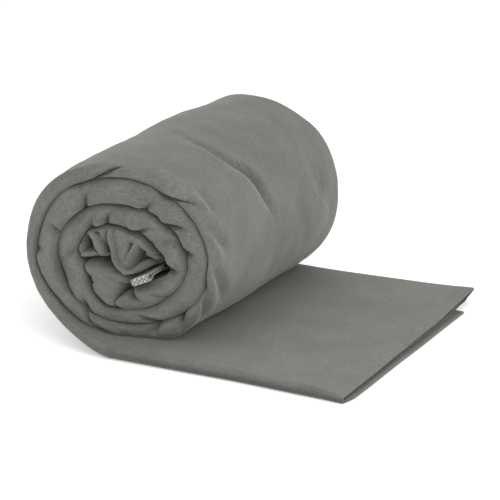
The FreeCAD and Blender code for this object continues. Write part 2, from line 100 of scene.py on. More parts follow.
def smooth(low, high, value):
    """0 below low, 1 above high, eased in between."""
    share = np.clip((value - low) / (high - low), 0.0, 1.0)
    return share * share * (3.0 - 2.0 * share)


def hump(value, centre, width):
    """1 at the centre, falling to nothing over about twice the width."""
    return np.exp(-(((value - centre) / width) ** 2))


def spline(knots, at):
    """A smooth curve through (place, value) knots."""
    place, value = np.array(knots, float).T
    slope = np.gradient(value, place)
    index = np.clip(np.searchsorted(place, at) - 1, 0, len(place) - 2)
    width = place[index + 1] - place[index]
    share = np.clip((at - place[index]) / width, 0.0, 1.0)
    square, cube = share**2, share**3
    start = (2 * cube - 3 * square + 1) * value[index]
    start += (cube - 2 * square + share) * width * slope[index]
    end = (3 * square - 2 * cube) * value[index + 1]
    end += (cube - square) * width * slope[index + 1]
    return start + end


def directions(path):
    """Unit tangents and normals of a path of points."""
    tangent = np.gradient(path, axis=0)
    tangent /= np.linalg.norm(tangent, axis=1)[:, None]
    return tangent, np.stack([-tangent[:, 1], tangent[:, 0]], axis=1)


def runs(path):
    """How far along a path each of its points is."""
    return np.append(0, np.cumsum(np.linalg.norm(np.diff(path, axis=0), axis=1)))


def waves(first, second, length, seed, count=7):
    """Soft random unevenness over two coordinates, about -1 to 1, with this wavelength."""
    random = np.random.default_rng(seed)
    total = np.zeros(np.broadcast(first, second).shape)
    for _ in range(count):
        heading = random.uniform(0, 2 * math.pi)
        rate = 2 * math.pi / (length * random.uniform(0.7, 1.6))
        phase = random.uniform(0, 2 * math.pi)
        along = first * math.cos(heading) + second * math.sin(heading)
        total += np.sin(along * rate + phase)
    return total / math.sqrt(count * 1.6)


# --- Meshes ---

def mesh_object(name, points, faces, cloth_mm):
    """A smooth mesh from points in millimetres. cloth_mm holds each point's place on the cloth,
    which the textures follow."""
    mesh = bpy.data.meshes.new(name)
    mesh.from_pydata((np.asarray(points) * MM).tolist(), [], faces)
    mesh.polygons.foreach_set("use_smooth", [True] * len(mesh.polygons))
    layer = mesh.uv_layers.new(name="cloth")
    corners = np.zeros(len(mesh.loops), int)
    mesh.loops.foreach_get("vertex_index", corners)
    layer.data.foreach_set("uv", (np.asarray(cloth_mm)[corners] * MM * 10).astype(np.float32).ravel())
    mesh.update()
    made = bpy.data.objects.new(name, mesh)
    bpy.context.scene.collection.objects.link(made)
    return made


def tube_faces(rows, columns, cap_start=True, cap_end=True):
    """Quads of a stack of closed rings, with its two ends closed."""
    faces = []
    for row in range(rows - 1):
        base = row * columns
        for column in range(columns):
            after = (column + 1) % columns
            faces.append((base + column, base + after, base + columns + after, base + columns + column))
    if cap_start:
        faces.append(tuple(reversed(range(columns))))
    if cap_end:
        faces.append(tuple(range((rows - 1) * columns, rows * columns)))
    return faces


def stands_for(node):
    """Hides a CAD node, so that the piece made for it shows in its place."""
    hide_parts(node)


def tube_object(name, rings, cloth):
    """A closed tube from rings[row, column, xyz], with cloth[row, column, 2]."""
    rows, columns = rings.shape[:2]
    return mesh_object(name, rings.reshape(-1, 3), tube_faces(rows, columns), cloth.reshape(-1, 2))


# --- The roll ---

STRIP_START = -812.0  # unwrapped angle where the strip begins in the core
START_ROUND = 13.0  # degrees over which its first fold is rounded
FLOOR_ANGLE = 270.0  # where the outside turn leaves the roll as the tail
OUTSIDE = 46.0  # about the roll's outside radius
TAIL_CLOTH_START = 700.0  # how far along the cloth the tail begins

# Creases of the outside as (angle, y) knots.
LONG_CREASE = (
    (2, 13.0), (8, 10.5), (17, 7.0), (30, 3.5), (40, 0.5), (51, -5.0), (68, -8.0), (88, -5.0),
    (106, 2.0),
)
LEFT_CREASE = ((128, 22.0), (150, 12.0), (180, 4.0), (206, 9.0), (224, 18.0))

# Short pinches of the outside: start and end as (angle, y), depth and width.
PINCHES = (
    ((50, -64), (28, -50), 1.4, 1.8), ((44, -47), (26, -46), 1.2, 3.0),
    ((12, 31), (-22, 47), 0.7, 4.2), ((14, 58), (-12, 74), 0.6, 3.6),
    ((30, 52), (2, 60), 0.5, 3.8), ((6, -62), (-34, -32), 2.4, 2.6),
    ((-8, -64), (-46, -46), 2.6, 2.4), ((24, -57), (2, -40), 1.6, 2.4),
    ((160, 70), (128, 46), 1.6, 1.8), ((205, -50), (172, -28), 1.1, 2.2),
    ((140, -30), (120, -6), 0.9, 2.4),
)


def near_plane(x):
    """Y of the plane that the rolled turns end in at the near end; it leans back to the right."""
    return -HALF + SLANT * (x + OUTSIDE)


def place(angle, radius, y):
    """Where a point of the roll is. The far end is a little wider and stands a little higher.
    Past 270 degrees on the outside turn the strip runs straight on as the tail's root."""
    share = (y + HALF) / (2 * HALF)
    turned = np.radians(np.minimum(angle, FLOOR_ANGLE))
    straight = np.maximum(angle - FLOOR_ANGLE, 0.0) * math.radians(1) * HUB_Z
    x = radius * np.cos(turned) * (1 + 0.06 * share) + straight
    lift = 0.035 * share * radius * (1 + np.sin(turned))
    z = np.maximum(HUB_Z + radius * np.sin(turned) + lift, 0.0)
    return np.stack(np.broadcast_arrays(x, y, z), axis=-1)


def fold_line(angle, y, knots, depth, near_width, far_width):
    """A crease across the roll's outside. knots give (angle, y); the cloth dips at the line and
    swells on its far side."""
    line = spline(knots, angle)
    low, high = knots[0][0], knots[-1][0]
    ease = (high - low) * 0.3
    strength = smooth(low, low + ease, angle) * (1 - smooth(high - ease, high, angle))
    across = y - line
    wide = np.where(across < 0, hump(across, 0.0, near_width), hump(across, 0.0, 2.6))
    away = np.maximum(across, 0)
    swell = 0.5 * (1 - hump(away, 0.0, 3.0)) * np.exp(-away / far_width)
    return depth * strength * (swell - hump(across, 0.0, 1.5) - 0.5 * wide)


def groove(angle, y, start, end, depth, width):
    """A short pinch from start to end, each (angle, y), that fades towards its end."""
    arc = math.radians(1) * OUTSIDE
    ax, ay = start[0] * arc, start[1]
    dx, dy = (end[0] - start[0]) * arc, end[1] - start[1]
    length = math.hypot(dx, dy)
    along = ((angle * arc - ax) * dx + (y - ay) * dy) / length
    across = ((angle * arc - ax) * dy - (y - ay) * dx) / length
    fade = smooth(-0.15 * length, 0.1 * length, along) * (1 - smooth(0.68 * length, length, along))
    ridge = 0.3 * (hump(across, 2.6 * width, 1.6 * width) + hump(across, -2.6 * width, 1.6 * width))
    return depth * fade * (ridge - hump(across, 0.0, width))


def outside_relief(angle, y):
    """How far the roll's outside stands off its plain curve, for the outermost turn."""
    relief = 0.9 * waves(angle * 0.8, y, 62.0, 3) + 0.22 * waves(angle * 0.8, y, 19.0, 4)
    relief += 1.1 * smooth(5.0, 45.0, y)
    # The near half bulges to the upper left, and the far end to the right.
    relief += 4.6 * hump(angle, 130.0, 29.0) * (1 - smooth(12.0, 62.0, y))
    relief += 2.2 * hump(angle, 124.0, 26.0) * hump(y, 46.0, 20.0)
    relief += 3.0 * hump(angle, 34.0, 26.0) * smooth(30.0, 76.0, y)
    long_depth = 1 - 0.72 * smooth(32.0, 72.0, angle)
    relief += fold_line(angle, y, LONG_CREASE, 2.3, 5.0, 22.0) * long_depth
    relief += fold_line(angle, y, LEFT_CREASE, 1.0, 7.0, 18.0)
    for start, end, depth, width in PINCHES:
        relief += groove(angle, y, start, end, depth, width)
    return relief


# Places of the strip's inside points from its near end to its far end. They are hidden but for
# the ends, so they lie close together only near those.
INSIDE_PLACES = (0.0, 0.008, 0.02, 0.035, 0.055, 0.08, 0.12, 0.25, 0.5, 0.8, 0.92, 0.96, 0.985, 1.0)
END_STEPS = 11


def bead_columns():
    """The strip's section as three lists: side (-1 inside to 1 outside), lead (0 at an end's
    nose to 1 where the end's round stops) and along (0 near end, 1 far end)."""
    points = []

    def end_round(steps, along):
        """Points round one end, from one face of the strip to the other."""
        for step in steps:
            turn = math.radians(step * 90 / (END_STEPS + 0.5))
            points.append((math.sin(turn), 1 - abs(math.cos(turn)), along))

    end_round(range(-END_STEPS, END_STEPS + 1), 0.0)
    for share in np.linspace(0, 1, round(2 * HALF / COLUMN)):
        points.append((1.0, 1.0, share))
    end_round(range(END_STEPS, -END_STEPS - 1, -1), 1.0)
    for share in reversed(INSIDE_PLACES):
        points.append((-1.0, 1.0, share))
    return np.array(points).T


# Short puckers on the near end: unwrapped angle, middle of the pucker across the strip (-1 inside
# to 1 outside), depth, width along the strip, and how far it leans along the strip.
PUCKERS = (
    (-203, -0.9, 3.4, 1.5, -3.0), (-238, -0.9, 4.6, 1.9, -5.5), (-244, 0.9, 2.0, 2.4, 0.0),
    (-297, -0.8, 3.6, 1.6, -2.5), (-324, -0.7, 4.2, 1.5, -5.0), (-183, 0.9, 2.0, 1.6, 2.0),
    (-118, -0.8, 3.2, 2.2, 5.0), (-100, 0.9, 2.2, 2.6, 3.0), (-352, -0.9, 2.8, 2.0, -2.0),
    (-14, -0.9, 2.4, 2.2, -3.0), (-42, -0.6, 3.8, 2.0, -4.0), (-62, -0.5, 3.0, 2.2, -4.0),
    (-613, -0.7, 3.8, 1.6, -3.5), (-664, -0.8, 3.2, 1.6, -4.0), (-548, -0.8, 2.8, 2.2, 4.0),
    (-590, -0.9, 3.0, 1.8, -4.0), (-700, 0.8, 2.4, 1.8, -2.0), (-730, -0.7, 3.4, 1.6, 0.0),
    (-760, 0.8, 2.6, 2.0, 3.0), (-480, 0.8, 2.4, 2.4, 4.0), (-422, 0.7, 3.4, 2.2, 5.0),
    (-790, -0.6, 3.0, 2.0, 3.0), (97, -0.1, 5.2, 1.8, -8.0), (47, 0.0, 5.0, 1.7, -8.0),
)


def strip_angles():
    """Unwrapped angles of the strip's sections, close together round its first fold."""
    root_angle = FLOOR_ANGLE + TAIL_ROOT / (math.radians(1) * HUB_Z)
    start_round = STRIP_START + START_ROUND * (1 - np.cos(np.radians(np.arange(3, 90, 8))))
    steps = np.arange(STRIP_START + START_ROUND + 1.0, FLOOR_ANGLE, STEP_DEG)
    return np.concatenate([start_round, steps, [FLOOR_ANGLE, root_angle]])[:, None]


def pucker_near_end(y, angle, side, share, middle):
    """The strip's y with the near end's puckers, which dent it and lift the cloth beside them."""
    for at, across, dent, width, lean_by in PUCKERS:
        arc = (angle - at) * math.radians(1) * middle - lean_by * (side - across)
        window = hump(side, across, 0.85)
        profile = hump(arc, 0.0, width) - 0.45 * hump(arc, 2.4 * width, 1.7 * width)
        y = y + 1.35 * share * window * dent * profile
    return y


def pucker_far_end(y, angle, side, share, middle):
    """The strip's y with the far end's puckers, which are scattered at random."""
    random = np.random.default_rng(5)
    for _ in range(18):
        at, across = random.uniform(-800, 150), random.choice((-0.8, 0.8))
        arc = (angle - at) * math.radians(1) * middle
        window = hump(side, across, 0.7)
        dent = random.uniform(1.5, 3.4)
        y = y - share * window * dent * hump(arc, 0.0, random.uniform(1.4, 2.4))
    return y


def roll_strip():
    """The whole rolled strip, from the core to the tail's root, as one closed band."""
    angle = strip_angles()
    side, lead, along = (part[None, :] for part in bead_columns())
    inner, outer = spline(CREASE, angle), spline(CREASE, angle + 360.0)
    middle, half = (inner + outer) / 2, (outer - inner) / 2
    # The strip begins with a rounded fold in the core.
    begun = np.clip((angle - STRIP_START) / START_ROUND, 0.0, 1.0)
    half = half * np.sqrt(1 - (1 - begun) ** 2)
    # Shares of the inner turns, of the outermost turn and of the tail's root.
    inner_turns = 1 - smooth(-130.0, -60.0, angle)
    outside = smooth(-95.0, -40.0, angle)
    root = smooth(180.0, 262.0, angle)
    # The near end's plane leans back to the right; the tail's root swings out to the full width.
    x_mid = middle * np.cos(np.radians(np.minimum(angle, FLOOR_ANGLE)))
    lean = (near_plane(x_mid) + HALF) * (1 - smooth(186.0, 262.0, angle))
    near = -HALF + lean + inner_turns * 1.1 * waves(angle * 0.55, 0 * angle, 34.0, 21)
    near -= 1.6 * inner_turns * smooth(-430.0, -300.0, angle)
    far = HALF - 1.0 + root - 0.05 * (x_mid + OUTSIDE) * inner_turns
    far -= 1.5 * inner_turns * (1 + waves(angle * 0.55, 0 * angle, 38.0, 22))
    # Both ends are rounded, and the outermost turn has a broad shoulder.
    shoulder = outside * (1 - root) * smooth(-60.0, 20.0, angle)
    shoulder = shoulder * (1 - 0.8 * smooth(84.0, 118.0, angle))
    round_in = np.clip(half * 0.95, 1.6, 5.2)
    near_depth = np.where(side > 0, round_in + 9.0 * shoulder, round_in)
    far_depth = np.where(side > 0, round_in + 4.0 * shoulder, round_in)
    flat_near, flat_far = near + near_depth, far - far_depth
    y = np.where(along < 0.5, near + near_depth * lead, far - far_depth * lead)
    y = np.where(lead >= 1.0, flat_near + (flat_far - flat_near) * along, y)
    wobble = 0.45 * waves(angle * 0.6, 0 * angle, 26.0, 11)
    radius = middle + half * side + wobble * inner_turns * 0.8
    # Only the outermost turn shows its outside; the relief fades where the tail leaves.
    shown = outside * (1 - smooth(226.0, 262.0, angle)) * np.clip(side, 0, 1)
    radius = radius + outside_relief(angle + 0 * y, y) * shown
    near_share = np.where(along < 0.02, 1.0, 0.0) * (1 - lead) ** 0.35
    y = pucker_near_end(y, angle, side, near_share, middle)
    far_share = np.where(along > 0.98, 1.0, 0.0) * (1 - lead) ** 0.35
    y = pucker_far_end(y, angle, side, (1 - 0.85 * outside) * far_share, middle)
    fine = 0.35 * (1 - root) * waves(angle * 0.7, side * 6 + along * 20, 9.0, 31)
    y = y + np.where(along < 0.5, fine, -fine) * (1 - lead)
    rings = place(angle, radius, y)
    arc_length = np.cumsum(np.append(0, np.diff(angle[:, 0]) * math.radians(1) * middle[1:, 0]))
    arc_length += TAIL_ROOT + TAIL_CLOTH_START - arc_length[-1]
    across = runs(np.stack([y[0], side[0] * 4.0], axis=1))
    cloth = np.stack(np.broadcast_arrays(arc_length[:, None], across[None, :]), axis=-1)
    strip = tube_object("roll_strip", rings, cloth)
    strip.data.set_sharp_from_angle(angle=math.radians(80))
    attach(strip, "roll")
    stands_for("rolled_cloth")
    return strip


# --- The hang loop's place ---

swing, opening, lifting = (
    next(joint for joint in frame["joints"] if joint["name"] == name)
    for name in ("loop_swing", "snap_open", "label_lift")
)
LOOP_ACROSS = -Vector(swing["axis"])
LOOP_UP = LOOP_ACROSS.cross(Vector((0, 1, 0)))
LOOP_SEAM = Vector(swing["pos_m"]) / MM
RIBBON_THICK = 1.0
RIBBON_HALF = 5.5
BIGHT_Y = opening["pos_m"][1] / MM
BIGHT_UP = (Vector(opening["pos_m"]) / MM - LOOP_SEAM).dot(LOOP_UP)
BIGHT_RADIUS = 1.4
BIGHT_SLIP = (1.5, -1.0)  # across and up


def loop_coordinates(x, z):
    """Place across the ribbon and above its lower face, for points of the XZ plane."""
    x, z = x - LOOP_SEAM.x, z - LOOP_SEAM.z
    up = x * LOOP_UP.x + z * LOOP_UP.z
    return x * LOOP_ACROSS.x + z * LOOP_ACROSS.z, up + RIBBON_THICK / 2


def loop_point(across, y, up):
    """A point in the loop's frame as a point of the row, in millimetres. The ribbon has slipped a
    little to the right and down towards its bight."""
    slipped = 1 - float(smooth(BIGHT_Y, LOOP_SEAM.y - 8.0, y))
    across, up = across + BIGHT_SLIP[0] * slipped, up + BIGHT_SLIP[1] * slipped
    at = LOOP_SEAM + LOOP_ACROSS * across + LOOP_UP * up
    return (at.x, y, at.z)


def bend_with(piece):
    """Bakes a piece's place into its mesh."""
    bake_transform(piece)


# --- The crumpled corner in the core ---

CORE_CENTRE = (0.5, 44.5)
CORE_FLOOR = -11.0  # heights of the two ends' floors between the folds
FAR_FLOOR = -8.0
POCKET_Y = -25.0  # how deep the loop's pocket goes

# Folds of the corner at the near end. Each is a drop of its round edge and a path of x, z, how far
# the fold's crest stands off the near plane, and its half width.
CORE_FOLDS = (
    (5.0, ((-18.4, 43.2, -2.0, 1.6), (-15.4, 42.4, -0.8, 2.9), (-11.3, 40.8, 0.0, 4.6),
           (-7.2, 37.6, 0.3, 7.6), (-6.3, 31.5, 0.8, 6.4), (-4.6, 25.5, 0.0, 4.4))),
    (5.0, ((-4.0, 38.3, -0.6, 4.4), (0.5, 38.4, -1.4, 3.9), (2.6, 37.2, -2.6, 2.8))),
    (3.0, ((-19.6, 49.2, -1.8, 1.5), (-14.0, 49.0, -2.4, 1.7), (-9.0, 49.6, -2.8, 1.6),
           (-5.0, 50.4, -3.4, 1.4))),
    (2.4, ((-19.8, 49.4, -1.2, 1.2), (-18.4, 52.0, -0.8, 1.1), (-19.2, 56.0, 0.0, 1.2),
           (-18.4, 59.2, 0.4, 1.3), (-15.8, 61.6, 0.4, 1.5), (-11.3, 62.8, 0.0, 1.7),
           (-7.6, 63.8, 0.0, 1.9), (-3.9, 64.2, -0.2, 2.0))),
    (3.2, ((-12.6, 60.9, 0.0, 1.6), (-10.6, 57.6, 0.0, 2.0), (-8.6, 53.4, 0.6, 2.3),
           (-7.9, 52.0, 0.6, 1.9))),
    (2.2, ((-6.8, 61.4, -0.9, 3.0), (-6.0, 58.0, -1.9, 2.6), (-5.2, 55.6, -3.2, 1.8))),
    (2.2, ((-3.6, 63.4, 0.3, 1.1), (-2.4, 57.4, 1.2, 1.2), (-1.9, 52.9, 1.3, 1.2),
           (-0.9, 48.2, 1.4, 1.3), (1.4, 44.3, 1.5, 1.5), (4.4, 41.6, 1.2, 1.5),
           (7.6, 42.4, 0.6, 1.3), (10.4, 44.4, -0.2, 1.2), (13.4, 45.6, -1.4, 1.1))),
    (3.0, ((1.4, 60.6, -0.4, 4.6), (1.6, 55.0, -0.6, 4.0), (1.9, 50.0, -0.4, 3.4),
           (3.8, 45.2, -0.3, 2.8))),
    (2.5, ((6.5, 60.2, -0.8, 3.6), (12.2, 56.4, -1.4, 3.2), (15.6, 52.6, -2.4, 2.4))),
    (2.4, ((9.4, 56.4, -1.0, 1.7), (7.6, 53.4, -0.2, 1.5), (5.6, 50.2, 0.0, 1.5),
           (4.6, 46.6, 0.3, 1.7))),
    (2.5, ((13.6, 51.0, -3.4, 1.8), (16.8, 48.6, -4.4, 1.6))),
)

# The same for the far end.
FAR_FOLDS = (
    (5.0, ((-14.0, 36.0, -2.0, 4.0), (-15.5, 48.0, -1.0, 4.2), (-9.0, 58.0, -1.4, 4.4),
           (2.0, 60.5, -1.0, 4.2), (11.0, 55.0, -2.0, 4.0))),
    (4.5, ((-5.0, 30.0, -1.8, 4.6), (5.0, 31.0, -1.0, 4.8), (13.5, 38.0, -1.6, 4.6),
           (13.0, 47.0, -3.0, 3.8))),
    (4.0, ((-7.0, 41.0, -3.0, 3.6), (-4.0, 50.0, -2.0, 3.8), (4.0, 51.5, -2.6, 3.4),
           (5.0, 43.0, -3.4, 3.6))),
)


def path_distance(x, z, path):
    """Distance of points to a path of straight pieces, and the index along it of the nearest
    place, counted in whole and part pieces."""
    best = np.full(x.shape, 1e9)
    place_on = np.zeros(x.shape)
    for index, ((ax, az, *_), (bx, bz, *_)) in enumerate(zip(path, path[1:])):
        dx, dz = bx - ax, bz - az
        share = np.clip(((x - ax) * dx + (z - az) * dz) / (dx * dx + dz * dz), 0.0, 1.0)
        distance = np.hypot(x - ax - share * dx, z - az - share * dz)
        nearer = distance < best
        best = np.where(nearer, distance, best)
        place_on = np.where(nearer, index + share, place_on)
    return best, place_on


def fold_height(x, z, folds, floor):
    """Height of a crumple of rounded folds over the plane of the roll's end."""
    height = floor + 0 * x
    wander = 0.5 * waves(x, z, 9.0, 61)
    for drop, path in folds:
        distance, place_on = path_distance(x + wander, z - wander, path)
        index = np.arange(len(path))
        crest = np.interp(place_on, index, [knot[2] for knot in path])
        width = np.interp(place_on, index, [knot[3] for knot in path])
        share = np.clip(distance / width, 0.0, 1.0)
        round_edge = drop * (1 - np.sqrt(np.maximum(1 - share**2, 0.0)))
        beyond = np.maximum(distance - width, 0.0) * 7.0
        height = np.maximum(height, crest - round_edge - beyond)
    return height


def loop_pocket(x, z):
    """1 where the hang loop and its label lie, falling to 0 beside them."""
    across, up = loop_coordinates(x, z)
    uneven = 0.04 * waves(x, z, 5.0, 63)
    across, up = across - BIGHT_SLIP[0], up - BIGHT_SLIP[1]
    mouth = (np.abs(across / 6.4) ** 3 + np.abs((up - 2.3) / 3.7) ** 3) ** (1 / 3)
    # The cloth gapes a little past the ribbon's right edge.
    gape = np.hypot((across - 6.2) / 2.2, (up - 3.6) / 2.4)
    return 1 - smooth(0.94, 1.14, np.minimum(mouth, gape) + uneven)


def core_corner():
    """The corner of the cloth that fills the core: a plug with a crumpled face at each end and a
    deep pocket that the hang loop lies in. The plug is in two halves that meet where the loop is
    sewn on."""
    turn_deg = np.linspace(-92.0, 268.0, 241)[:-1]
    edge_radius = spline(CREASE, turn_deg - 720.0) - 0.4
    last = spline(CREASE, np.array(-452.0)) - 0.4
    first = spline(CREASE, np.array(STRIP_START)) - 0.4
    joining = last + (first - last) * smooth(-92.0, -80.0, turn_deg)
    edge_radius = np.where(turn_deg < -80.0, joining, edge_radius)
    rim_x = edge_radius * np.cos(np.radians(turn_deg))
    rim_z = HUB_Z + edge_radius * np.sin(np.radians(turn_deg))

    def face(shares, folds, floor):
        """Points of a face from its middle to its rim, and their heights."""
        share = shares[:, None]
        x = CORE_CENTRE[0] + (rim_x - CORE_CENTRE[0]) * share
        z = CORE_CENTRE[1] + (rim_z - CORE_CENTRE[1]) * share
        height = fold_height(x, z, folds, floor) + 0.12 * waves(x, z, 4.0, 62)
        return x, z, height - 6.0 * smooth(0.93, 1.0, share)

    near_share = np.concatenate([[0.004], np.linspace(0.015, 1.0, 68)])
    x, z, height = face(near_share, CORE_FOLDS, CORE_FLOOR)
    y = near_plane(x) - height
    y = y + (np.maximum(POCKET_Y, y) - y) * loop_pocket(x, z)
    near = np.stack([x, y, z], axis=-1)
    far_share = np.concatenate([np.linspace(1.0, 0.03, 34), [0.004]])
    x, z, height = face(far_share, FAR_FOLDS, FAR_FLOOR)
    grow = 1.055  # the roll is wider at its far end
    x, z = x * grow, HUB_Z + (z - HUB_Z) * grow + 1.5
    far = np.stack([x, HALF - 4.0 + height, z], axis=-1)
    made = []
    for name, face_rings, outward in (("core_near", near, 1), ("core_far", far, -1)):
        rim = face_rings[-1] if outward > 0 else face_rings[0]
        middle = rim.copy()
        middle[:, 1] = LOOP_SEAM.y
        between = np.linspace(0.0, 1.0, 12)[1:, None, None]
        wall = rim * (1 - between) + middle * between
        rings = np.concatenate([face_rings, wall] if outward > 0 else [wall[::-1], face_rings])
        along = rings[:, :, 0] + 0.5 * rings[:, :, 1] + 300.0
        cloth = np.stack([along, rings[:, :, 2] + 0.5 * rings[:, :, 1]], axis=-1)
        half = tube_object(name, rings, cloth)
        stands_for("corner_flap")
        made.append(half)
    bend_with(made[0])
    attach(made[1], "roll")
    return made


# --- The hang loop, its label and the hem's threads ---

FACE_APART = 40.0  # keeps a ribbon's two faces apart on its cloth map


def ribbon_piece(name, path, half_width, thickness, start=0.0):
    """A flat ribbon that runs along a path of (y, up), with rounded selvedges. The texture's first
    coordinate runs along the ribbon and its second across it."""
    path = np.array(path, float)
    _, normal = directions(path)
    half = thickness / 2
    outline = [
        (half_width - half * (1 - math.cos(turn)), half * math.sin(turn))
        for turn in np.radians(np.arange(-90, 91, 30))
    ]
    outline += [(share * (half_width - half), half) for share in np.linspace(1, -1, 13)[1:-1]]
    outline += [(-across, -lift) for across, lift in outline]
    run = runs(path) + start
    rings, cloth = [], []
    for (y, up), (out_y, out_up), along in zip(path, normal, run):
        rings.append([loop_point(across, y + out_y * lift, up + out_up * lift) for across, lift in outline])
        cloth.append([(along, across + math.copysign(FACE_APART, lift + 1e-6)) for across, lift in outline])
    return tube_object(name, np.array(rings), np.array(cloth))


def bight_arc(start_deg, end_deg, count):
    """Points of the bight's middle line, counted from straight down through the near side."""
    turns = np.radians(np.linspace(start_deg, end_deg, count))
    return [
        (BIGHT_Y - BIGHT_RADIUS * math.sin(turn), BIGHT_UP - BIGHT_RADIUS * math.cos(turn))
        for turn in turns
    ]


def leg_up(y, sense):
    """Height of the lower (-1) or the upper (1) leg at y. Behind the bight the lower leg rises to
    lie against the upper one; past there they spread round the snap."""
    pressed = float(smooth(BIGHT_Y, BIGHT_Y + 5.0, y))
    spread = float(smooth(BIGHT_Y + 14.0, BIGHT_Y + 27.0, y))
    low = BIGHT_RADIUS * (2 * pressed - 1) - (RIBBON_THICK + 0.15) * pressed
    together = BIGHT_RADIUS if sense > 0 else low
    return BIGHT_UP + together + (sense * BIGHT_UP - together) * spread


SEWN_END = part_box("loop_sewn_end")[1].y / MM
FREE_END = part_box("loop_free_leg")[1].y / MM
SEWN_PATH = [(y, 0.0) for y in np.linspace(SEWN_END, LOOP_SEAM.y, 6)]
LEG_PATH = [(y, leg_up(y, -1)) for y in np.linspace(LOOP_SEAM.y, BIGHT_Y, 34)]
LEG_PATH += bight_arc(0, 90, 9)[1:]
FREE_PATH = bight_arc(90, 180, 9)
FREE_PATH += [(y, leg_up(y, 1)) for y in np.linspace(BIGHT_Y, FREE_END, 32)[1:]]
SEAM_ALONG = float(runs(SEWN_PATH)[-1])
BIGHT_ALONG = SEAM_ALONG + float(runs(LEG_PATH)[-1])


def hang_loop():
    """The loop's ribbon in three pieces: sewn end, leg with half the bight, and free leg."""
    made = []
    for name, node, path, start in (
        ("loop_sewn", "loop_sewn_end", SEWN_PATH, 0.0),
        ("loop_leg", "loop_fixed_leg", LEG_PATH, SEAM_ALONG),
        ("loop_free_end", "loop_free_leg", FREE_PATH, BIGHT_ALONG),
    ):
        piece = ribbon_piece(name, path, RIBBON_HALF, RIBBON_THICK, start)
        stands_for(node)
        made.append(piece)
    sewn, leg, free = made
    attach(sewn, "roll")
    bend_with(leg)
    bend_with(free)
    return made


def care_label():
    """The label's sewn end, and its flap, which droops a little."""
    flap_end = (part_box("label_flap")[0] / MM).y
    sewn_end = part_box("label_sewn_end")[1].y / MM
    thickness, half_width = 0.4, 4.0
    crease = Vector(lifting["pos_m"]) / MM
    level = (crease - LOOP_SEAM).dot(LOOP_UP)
    made = []
    for name, node, body, start, end in (
        ("label_seam", "label_sewn_end", "roll", sewn_end, crease.y),
        ("label_leaf", "label_flap", lifting["child"], crease.y, flap_end),
    ):
        path = [
            (y, level - 0.25 * math.sin(min(crease.y - y, 22.0) * 0.14))
            for y in np.linspace(start, end, 14)
        ]
        piece = ribbon_piece(name, path, half_width, thickness)
        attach(piece, body)
        stands_for(node)
        made.append(piece)
    return made


def hem_threads():
    """The hem's stitches, each a short thread that dips into the cloth at both ends."""
    low, high = (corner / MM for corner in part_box("hem_stitches"))
    seam_x = (low.x + high.x) / 2
    pitch, radius, sides, proud, sunk = 3.0, 0.17, 8, 0.04, 0.5
    count = int((high.y - low.y) // pitch) + 1
    run = np.linspace(0.0, 1.0, 9)
    points, faces, cloth = [], [], []
    for number in range(count):
        start = low.y + 0.6 + pitch * number
        base = len(points)
        y = start + run * pitch * 0.74
        x = seam_x + 0.12 * math.sin(number * 2.3) + 0 * y
        top = tail_top(x, y) + HEM_EXTRA / 2
        z = top + proud - sunk * np.abs(2 * run - 1) ** 3
        for px, py, pz in zip(x, y, z):
            for side in range(sides):
                turn = 2 * math.pi * side / sides
                points.append((px + radius * math.cos(turn), py, pz + radius * math.sin(turn)))
                cloth.append((py, side * 0.3))
        for face in tube_faces(len(run), sides):
            faces.append(tuple(base + corner for corner in face))
    threads = mesh_object("hem_threads", points, faces, cloth)
    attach(threads, "tail_5")
    stands_for("hem_stitches")
    return threads


# --- The tail ---

ROOT_TOP = HUB_Z - float(spline(CREASE, np.array(272.0)))

# Height of the tail's upper face at its near and far edges, and radius of its far fold, by x.
NEAR_TOP = ((0, ROOT_TOP), (16, 7.4), (34, 6.4), (90, 5.6), (118, 5.2), (130, 3.4))
FAR_TOP = ((0, ROOT_TOP), (14, 7.0), (34, 6.4), (80, 6.8), (112, 7.8), (130, 9.2))
FAR_ROUND = ((0, ROOT_TOP / 2 - PLY / 2), (16, 1.9), (60, 1.5), (105, 2.7), (130, 3.65))
CURL_START = 88.0  # where the far fold begins to stand up
SLIDE_START = 96.0  # where the plies begin to slide over one another

# Points of each ply and fold in an end view of the tail.
BOTTOM_COUNT, FOLD_COUNT, TOP_COUNT, MIDDLE_COUNT = 34, 12, 96, 40
CAP_TURNS = np.radians([-60, -30, 0, 30, 60])

# How far beyond the top ply each point ends, in millimetres, as (index, slide) knots: the bottom
# ply has slid out a little, and the middle ply and the far fold's lower half are drawn in.
PLY_SLIDE = (
    (0, 2.4), (34, 2.0), (44, 0.0), (144, 0.0), (151, -4.2), (156, -4.2), (161, -1.2),
)


def tail_top(x, y):
    """Height of the tail's upper face."""
    across = (y + HALF) / (2 * HALF)
    near, far = spline(NEAR_TOP, x), spline(FAR_TOP, x)
    # Towards the end only the far fold stands up, and the rest lies flat.
    curled = 0.35 * across + 0.65 * across ** 4
    rise = smooth(0.0, 1.0, across)
    curl = smooth(CURL_START, TAIL_END, x)
    rise = rise + (curled - rise) * curl
    sag = 0.5 * np.sin(np.pi * across) * smooth(20, 60, x) * (1 - curl)
    height = near + (far - near) * rise - sag
    between = np.sin(np.pi * np.clip(across, 0, 1))
    return height + 0.28 * waves(x, y, 46.0, 41) * smooth(0.0, 25.0, x) * between


